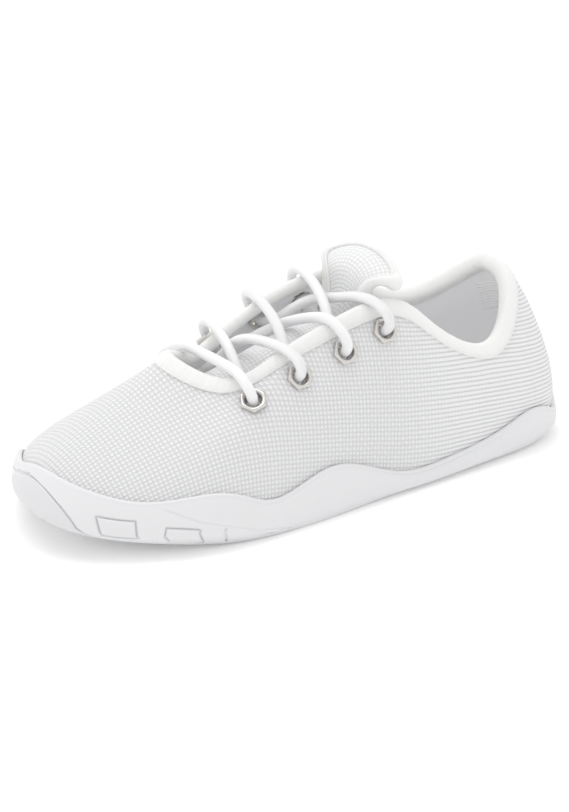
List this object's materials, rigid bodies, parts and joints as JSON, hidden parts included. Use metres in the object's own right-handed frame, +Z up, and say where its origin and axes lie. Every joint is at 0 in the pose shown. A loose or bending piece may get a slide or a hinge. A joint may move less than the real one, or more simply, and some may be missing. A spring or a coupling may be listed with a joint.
{
  "type": "running shoe",
  "caption": "Low-cut left running shoe: woven textile upper, padded tongue and collar, hexagonal eyelets with a round crossed lace, thin rubber cup sole with a wavy lip.",
  "frame": {"origin": "bottom centre of the bounding box, on the ground under the middle of the shoe", "axes": "+X to the toe, +Y to the outer (lateral) side, +Z up"},
  "size_m": [0.2666, 0.1055, 0.0955],
  "materials": {
    "sole_rubber": "matte white moulded rubber",
    "sole_foam": "matte white moulded foam rubber with a smooth skin",
    "board": "pressed fibre board",
    "sockliner_fabric": "light grey knitted top cloth on foam",
    "woven_textile": "white basket-weave textile",
    "lining_textile": "smooth light grey lining",
    "ribbed_textile": "fine ribbed textile",
    "stiffener": "stiff non-woven sheet",
    "padding": "open-cell foam",
    "binding_textile": "soft flat bias tape",
    "nickel": "polished nickel plate",
    "lace_textile": "tightly braided round lace",
    "aglet_plastic": "white film tip"
  },
  "bodies": {
    "shoe": {"outsole": "sole_rubber", "midsole": "sole_foam", "toe_guard": "sole_rubber", "outsole_pod_1": "sole_rubber", "outsole_pod_2": "sole_rubber", "insole_board": "board", "sockliner": "sockliner_fabric", "upper_fabric": "woven_textile", "upper_lining": "lining_textile", "toe_puff": "stiffener", "heel_counter": "stiffener", "collar_foam": "padding", "eyestay_lateral": "stiffener", "eyestay_medial": "stiffener", "heel_lining_patch": "ribbed_textile", "topline_binding": "binding_textile", "eyelet_lateral_1": "nickel", "eyelet_lateral_2": "nickel", "eyelet_lateral_3": "nickel", "eyelet_lateral_4": "nickel", "eyelet_medial_1": "nickel", "eyelet_medial_2": "nickel", "eyelet_medial_3": "nickel", "eyelet_medial_4": "nickel", "eyelet_washer_lateral_1": "nickel", "eyelet_washer_lateral_2": "nickel", "eyelet_washer_lateral_3": "nickel", "eyelet_washer_lateral_4": "nickel", "eyelet_washer_medial_1": "nickel", "eyelet_washer_medial_2": "nickel", "eyelet_washer_medial_3": "nickel", "eyelet_washer_medial_4": "nickel", "shoelace": "lace_textile", "aglet_1": "aglet_plastic", "aglet_2": "aglet_plastic"},
    "tongue": {"tongue_outer": "woven_textile", "tongue_foam": "padding", "tongue_lining": "lining_textile", "tongue_binding": "binding_textile"}
  },
  "joints": [
    {"name": "tongue_swing", "type": "hinge", "parent": "shoe", "child": "tongue", "pos_m": [0.0738, -0.0007, 0.051], "axis": [0, -1, 0], "range_deg": [0, 1], "stiffness_Nm_per_rad": 0.08, "springref_deg": -5.73}
  ]
}
